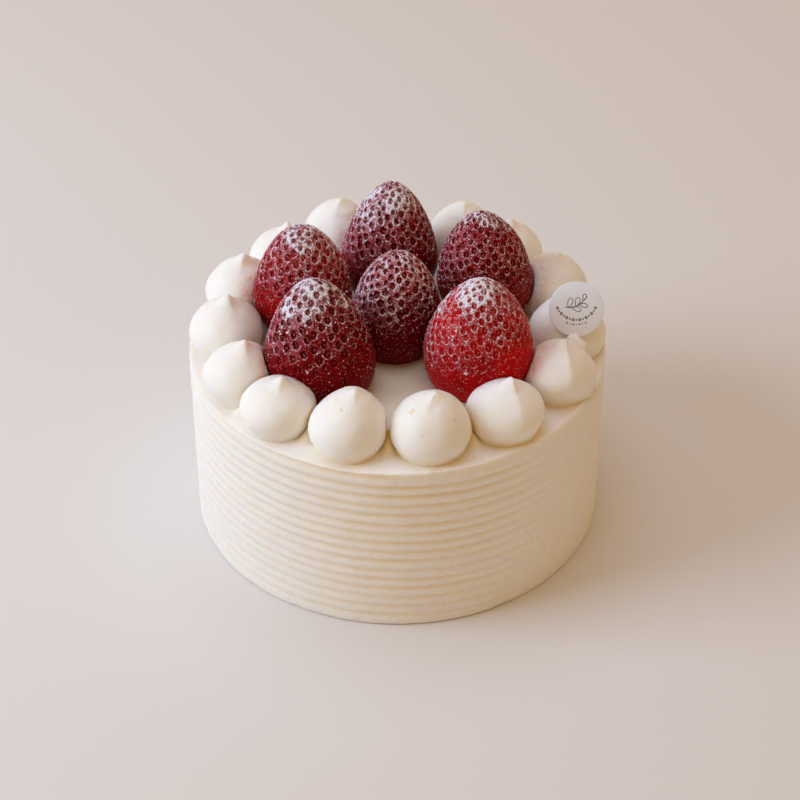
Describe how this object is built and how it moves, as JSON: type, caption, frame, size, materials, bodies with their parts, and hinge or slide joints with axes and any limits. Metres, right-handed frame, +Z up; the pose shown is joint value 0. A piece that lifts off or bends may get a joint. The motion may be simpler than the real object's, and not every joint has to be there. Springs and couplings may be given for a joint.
{
  "type": "strawberry shortcake",
  "caption": "Whole round cake in white whipped cream with combed sides, a ring of piped cream dollops, sugar-dusted strawberries and a small round tag on a pick.",
  "frame": {"origin": "centre of the cake's foot, on the surface that it stands on", "axes": "+Z up along the cake's axis; -Y towards the front, where the two larger strawberries stand; +X to the right, where the tag stands"},
  "size_m": [0.15, 0.15, 0.1143],
  "materials": {
    "cream_coat": "smooth whipped cream, softly translucent, combed in level ridges",
    "piped_cream": "smooth piped whipped cream, softly translucent",
    "strawberry_skin": "glossy red fruit skin with seeds in pits, dusted with icing sugar",
    "tag": "satin white card with a thin printed ring and sprig"
  },
  "bodies": {
    "root": {"cake_body": "cream_coat", "dollop_01": "piped_cream", "dollop_02": "piped_cream", "dollop_03": "piped_cream", "dollop_04": "piped_cream", "dollop_05": "piped_cream", "dollop_06": "piped_cream", "dollop_07": "piped_cream", "dollop_08": "piped_cream", "dollop_09": "piped_cream", "dollop_10": "piped_cream", "dollop_11": "piped_cream", "dollop_12": "piped_cream", "dollop_13": "piped_cream", "dollop_14": "piped_cream", "dollop_15": "piped_cream", "strawberry_front_left": "strawberry_skin", "strawberry_front_right": "strawberry_skin", "strawberry_centre": "strawberry_skin", "strawberry_back_left": "strawberry_skin", "strawberry_back_right": "strawberry_skin", "strawberry_back_centre": "strawberry_skin", "tag_pick": "tag"}
  },
  "joints": []
}
